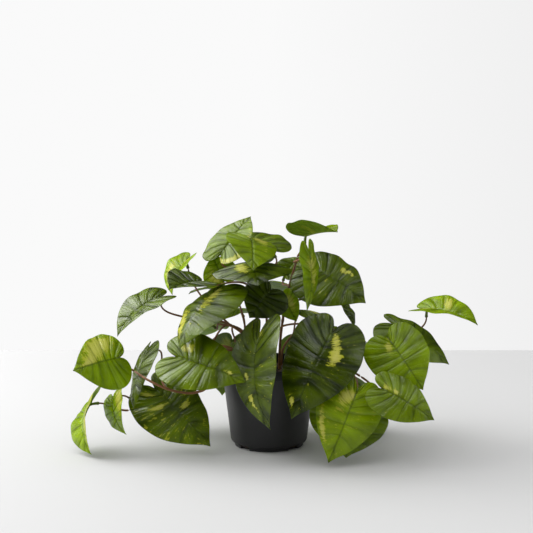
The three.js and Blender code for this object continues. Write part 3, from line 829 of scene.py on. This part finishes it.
# The leaf's axes: along its chord, out of its upper side, and across it.
def leafAxes(leaf):
    joint, tip = np.array(leaf["joint"], float), np.array(leaf["tip"], float)
    along = unit(tip - joint)
    face = np.array(leaf["face"], float)
    up = unit(face - along * (face @ along))
    return joint, along, up, np.cross(up, along), np.linalg.norm(tip - joint)


# The midrib is an arc that turns by bend. With heading h = bend/2 - bend s, its point is
# ((sin(bend/2) - sin h) along + (cos h - cos(bend/2)) up) length / bend from the joint. The directions
# along and out of it turn with h, and those across and out of it turn with the twist too.
def midrib(leaf, s):
    joint, along, up, across, chord = leafAxes(leaf)
    s = np.asarray(s, float)[..., None]
    bend = math.radians(max(leaf["bend"], 1))
    length = chord * bend / (2 * math.sin(bend / 2))
    heading = bend / 2 - bend * s
    ahead = along * (math.sin(bend / 2) - np.sin(heading))
    point = joint + (ahead + up * (np.cos(heading) - math.cos(bend / 2))) * (length / bend)
    forward = along * np.cos(heading) + up * np.sin(heading)
    outward = up * np.cos(heading) - along * np.sin(heading)
    turn = math.radians(leaf.get("twist", 0)) * s
    sideways = across * np.cos(turn) + outward * -np.sin(turn)
    outward = outward * np.cos(turn) + across * np.sin(turn)
    return point, forward, sideways, outward, length


# A blade's two skins as rings that run over the upper side and back under the lower side, from the
# joint to the tip. Ring t ends at the margin point of that t and follows a vein: s goes from t^sweep at
# the midrib to the outline's x. Each half is raised by fold and rolls back by curl on its way out:
# sideways (sin raised - sin tilt) half / curl, upwards (cos tilt - cos raised) half / curl. The skin is
# then moved along its normal by grooves, -depth ((1 + cos phase) / 2)^5, by swellings between them,
# puff (1 - cos phase) / 2, by bell curves across the midrib, by slow waves that grow with the square of
# the distance out, and by half the thickness. The phase counts the veins, whose places wander a little.
def bladeRings(leaf, look, number):
    t = np.linspace(0, 1, look["rows"])
    edge = evenCurve(halfOutline, t)
    step = np.arange(look["across"] + 1) / look["across"]
    share = step**2 * (3 - 2 * step)
    over = np.concatenate([share[::-1], -share[1:]])
    across = np.concatenate([over, over[-2:0:-1]])[None]
    side = np.concatenate([np.ones(len(over)), -np.ones(len(over) - 2)])[None]
    side[0, [0, len(over) - 1]] = 0
    out = np.abs(across)
    sign = np.where(across < 0, -1.0, 1.0)
    start = (t ** look["veinSweep"])[:, None]
    s = start + (edge[:, :1] - start) * out ** look["veinBow"]
    flatOut = out * edge[:, 1:] * 2
    point, _, sideways, outward, length = midrib(leaf, s)
    half = leaf["width"] / 2
    away = flatOut * half
    raised = np.radians(leaf["fold"] + sign * leaf.get("lean", 0))
    curl = math.radians(max(leaf["curl"], 1))
    tilt = raised - curl * flatOut
    point = point + sideways * ((np.sin(raised) - np.sin(tilt)) / curl * half * sign)[..., None]
    point = point + outward * ((np.cos(tilt) - np.cos(raised)) / curl * half)[..., None]
    normal = unit(outward * np.cos(tilt)[..., None] - sideways * (np.sin(tilt) * sign)[..., None])
    shift = np.random.default_rng(number).uniform(0, 2 * np.pi, 6)
    grown = t
    for (drift, waves), start in zip(look["veinDrift"], shift[4:]):
        grown = grown + drift * np.sin(2 * np.pi * waves * t + start)
    drift, waves = look["halfDrift"]
    grown = grown[:, None] + drift * sign * np.sin(2 * np.pi * waves * t + shift[0])[:, None]
    phase = 2 * np.pi * look["veins"] * grown
    reach = np.sin(np.pi * np.clip(out, 0, 1)) ** 0.5
    groove = -look["veinDepth"] * ((1 + np.cos(phase)) / 2) ** 5 * reach
    puff = look["puff"] * (1 - np.cos(phase)) / 2 * reach
    left = 1 - s.clip(0, 1)
    rib = -look["ribDepth"] * np.exp(-((away / look["ribWidth"]) ** 2)) * left**0.5
    ridge = -look["underRib"] * np.exp(-((away / look["underRibWidth"]) ** 2)) * left**0.7
    ridge = np.where(side < 0, ridge, 0)
    waves = np.sin(2 * np.pi * 1.3 * s + shift[0] + sign * shift[1])
    waves = waves + 0.6 * np.sin(2 * np.pi * 2.7 * s + shift[2] + sign * shift[3])
    slow = look["wave"] * waves * flatOut**2 * half / look["waveWidth"]
    skin = side * look["thickness"] / 2 * (1 - out**6) ** 0.5
    ends = np.sin(np.pi * t.clip(0.02, 0.98))[:, None] ** 0.3
    relief = (groove + puff + rib + slow + ridge + skin) * ends
    point = point + normal * relief[..., None]
    point[0], point[-1] = point[0, :1], point[-1, :1]
    blade = np.stack([grown, np.broadcast_to(across, s.shape), np.broadcast_to(side, s.shape)], -1)
    flat = np.stack([s * length, away * sign, np.full(s.shape, number * 7.3)], -1)
    gold = np.zeros(s.shape)
    for place, aside, tall, wide in leaf.get("gold", []):
        gold += np.exp(-(((grown - place) / tall) ** 2) - ((across - aside) / wide) ** 2)
    given = [np.full(s.shape, leaf[key]) for key in ("fleck", "tone")]
    values = {"blade": blade, "flat": flat, "look": np.stack([gold.clip(0, 1.2), *given], -1)}
    return {"rings": point * millimetre, "values": values}


# Where the neck starts and ends, and its direction: it runs in at the arrival angle under the midrib.
def neckLine(leaf, look):
    point, forward, _, outward, _ = midrib(leaf, 0.0)
    angle = math.radians(leaf.get("arrival", look["arrival"]))
    inward = forward * math.cos(angle) + outward * math.sin(angle)
    end = point - outward * (look["radius"] * 0.7 * math.cos(angle)) + forward * 1.5
    return end - inward * look["length"], end, inward


# A Bezier curve: (1-t)^3 a + 3 t (1-t)^2 b + 3 t^2 (1-t) c + t^3 d.
def bezier(a, b, c, d, count):
    t = np.linspace(0, 1, count)[:, None]
    return (1 - t) ** 3 * a + 3 * t * (1 - t) ** 2 * b + 3 * t**2 * (1 - t) * c + t**3 * d


# The neck's line is a Bezier curve that turns from its own direction into the midrib's. It narrows on
# its way, and a collar near its mouth swells it by a bell curve of the distance.
def neckSkin(leaf, look):
    start, end, _ = neckLine(leaf, look)
    point, forward, _, outward, _ = midrib(leaf, np.array([0.0, 0.1]))
    goal = point[1] - outward[1] * 0.5
    path = bezier(start, start + (end - start) * 0.75, end + forward[0], goal, 26)
    along = np.linspace(0, 1, len(path))
    collar = look["collar"] * np.exp(-((along - look["collarPlace"]) ** 2) / 0.004)
    radii = look["radius"] * (look["mouth"] - look["narrowing"] * along**1.5 + collar)
    radii *= roundedRadii(len(radii), 1, 1, 3)
    return barSkin(path, radii, 16, finish=1)


# A stem is a bar along its route, thicker at each joint by a bell curve. A stalk is a bar along a
# Bezier curve that leaves along the stem and its own line and ends inside its leaf's neck.
def vineSkins(vine, look, neck, mixTop):
    root = [*vine["route"][0][:2], mixTop - look["rootDepth"]]
    route = stemCurve([root] + list(vine["route"][1:]), 121)
    share = np.linspace(0, 1, len(route))
    radii = roundedRadii(len(route), look["radius"], look["endRadius"], 3)
    skins = []
    ways = unit(np.gradient(route, axis=0))
    for leaf in vine["leaves"]:
        start, _, inward = neckLine(leaf, neck)
        source = np.array([np.interp(leaf["at"], share, route[:, k]) for k in range(3)])
        way = unit(np.array([np.interp(leaf["at"], share, ways[:, k]) for k in range(3)]))
        goal = start + inward * 1.5
        reach = np.linalg.norm(goal - source)
        leave = unit(way + (goal - source) / reach)
        reach = reach * look["stalkReach"]
        path = bezier(source, source + leave * reach, goal - inward * reach, goal, 41)
        thick, thin = (look["stalkRadius"] * share for share in look["stalkTaper"])
        skins.append(barSkin(path, roundedRadii(len(path), thick, thin, 2), 12))
        bell = np.exp(-(((share - leaf["at"]) / look["knuckleLength"]) ** 2))
        radii = radii * (1 + look["knuckle"] * bell)
    return skins + [barSkin(route, radii, 16)]


leafCoat, neckCoat, stemCoat = leafFinish(leafLook), neckFinish(neckLook), stemFinish(stemLook)
number = 0
for vine in vines:
    print("vine", vine["name"])
    words = vine["name"].title().replace("_", "")
    skins = vineSkins(vine, stemLook, neckLook, mixLook["top"])
    makePiece("vine" + words, skins, [stemCoat], "vine_" + vine["name"])
    for index, leaf in enumerate(vine["leaves"], 1):
        number += 1
        skins = [bladeRings(leaf, leafLook, number), neckSkin(leaf, neckLook)]
        node = f"leaf_{vine['name']}_{index}"
        makePiece(f"leaf{words}{index}", skins, [leafCoat, neckCoat], node)

print("floor, light and camera")
stageLook = {
    "floorBack": 0.595,  # metres behind the pot where the floor ends
    "floorReach": 4,  # metres to its other three sides
    "floorWhite": (202, 202, 202),
    "floorGloss": 0.3,
    "roomWhite": (0.955, 0.955, 0.955, 1),
    "windows": (-0.5, 0.2, 0.84),  # the way to the room's big windows
    "windowFade": (-0.1, 0.95),  # the cosines between which its light grows
    "dim": 0.14,
    "bright": 1.5,
    "sheenDim": 0.03,  # glossy coats see narrower windows in a darker room
    "sheenFade": (0.8, 0.9),
    "sheenBright": 4.2,
    "sideWindow": (0.86, -0.1, 0.5),
    "sideFade": (0.92, 0.98),
    "sideBright": 2.6,
    "rightFade": 0.085,  # how much darker the room behind is on the right
    "keyPlace": (-1.5, 0.45, 1.15),
    "keyAim": (0, 0, 0.1),
    "keySize": 1.5,
    "keyPower": 30,
}
cameraLook = {
    "place": (0, -1.7427, 0.4507),
    "down": 7.68,  # degrees below level, and to the left
    "left": 0.097,
    "lens": 100,
    "sensor": 36,
}


def makeFloor(look):
    side, back = look["floorReach"], look["floorBack"]
    corners = [(-side, -side, 0), (side, -side, 0), (side, back, 0), (-side, back, 0)]
    mesh = bpy.data.meshes.new("studioFloor")
    mesh.from_pydata(corners, [], [(0, 1, 2, 3)])
    f = newFinish("studioFloorPaint")
    rough = 0.55 + f.noise(f.objectPoint(), 3, 2) * 0.1
    base = colour(*look["floorWhite"])
    values = {"Base Color": base, "Roughness": rough, "Specular IOR Level": look["floorGloss"]}
    mesh.materials.append(f.finished(f.node("BsdfPrincipled", {}, values)))
    floor = bpy.data.objects.new("studioFloor", mesh)
    scene.collection.objects.link(floor)


# The camera sees a white room that darkens a little to the right. The plant is lit by the same room,
# dimmed away from its big windows: the strength grows with the cosine between a direction and the one
# towards the windows. Glossy coats reflect a dark room with two small bright windows instead.
def makeRoom(look):
    scene.world = bpy.data.worlds.new("studioRoom")
    room = Finish(scene.world)
    place = room.node("TexCoord", {}, {}, "Generated")
    front = room.towards(place, look["windows"])
    side = room.towards(place, look["sideWindow"])
    strength = look["dim"] + room.step(front, *look["windowFade"]) * look["bright"]
    sheen = look["sheenDim"] + room.step(front, *look["sheenFade"]) * look["sheenBright"]
    sheen = sheen + room.step(side, *look["sideFade"]) * look["sideBright"]
    glossy = room.node("LightPath", {}, {}, "Is Glossy Ray")
    strength = strength + (sheen - strength) * glossy
    lit = room.node("Background", {}, {"Color": look["roomWhite"], "Strength": strength})
    behind = 1 - room.step(room.parts(place)[0], 0, 0.18) * look["rightFade"]
    seen = room.node("Background", {}, {"Color": look["roomWhite"], "Strength": behind})
    ray = room.node("LightPath", {}, {}, "Is Camera Ray")
    room.finished(room.node("MixShader", {}, {0: ray, 1: lit, 2: seen}), "OutputWorld")


# A round lamp that faces its aim: tipped by the angle from straight down, then turned towards it.
def makeKey(look):
    lamp = bpy.data.lights.new("keyLight", "AREA")
    lamp.shape = "DISK"
    lamp.size = look["keySize"]
    lamp.energy = look["keyPower"]
    key = bpy.data.objects.new("keyLight", lamp)
    key.location = look["keyPlace"]
    x, y, z = np.array(look["keyAim"]) - np.array(look["keyPlace"])
    key.rotation_euler = (math.atan2(math.hypot(x, y), -z), 0, math.atan2(-x, y))
    scene.collection.objects.link(key)


def makeCamera(look):
    lens = bpy.data.cameras.new("camera")
    lens.lens = look["lens"]
    lens.sensor_width = look["sensor"]
    camera = bpy.data.objects.new("camera", lens)
    camera.location = look["place"]
    camera.rotation_euler = (math.radians(90 - look["down"]), 0, math.radians(look["left"]))
    scene.collection.objects.link(camera)
    scene.camera = camera


makeFloor(stageLook)
makeRoom(stageLook)
makeKey(stageLook)
makeCamera(cameraLook)
scene.view_settings.view_transform = "Standard"
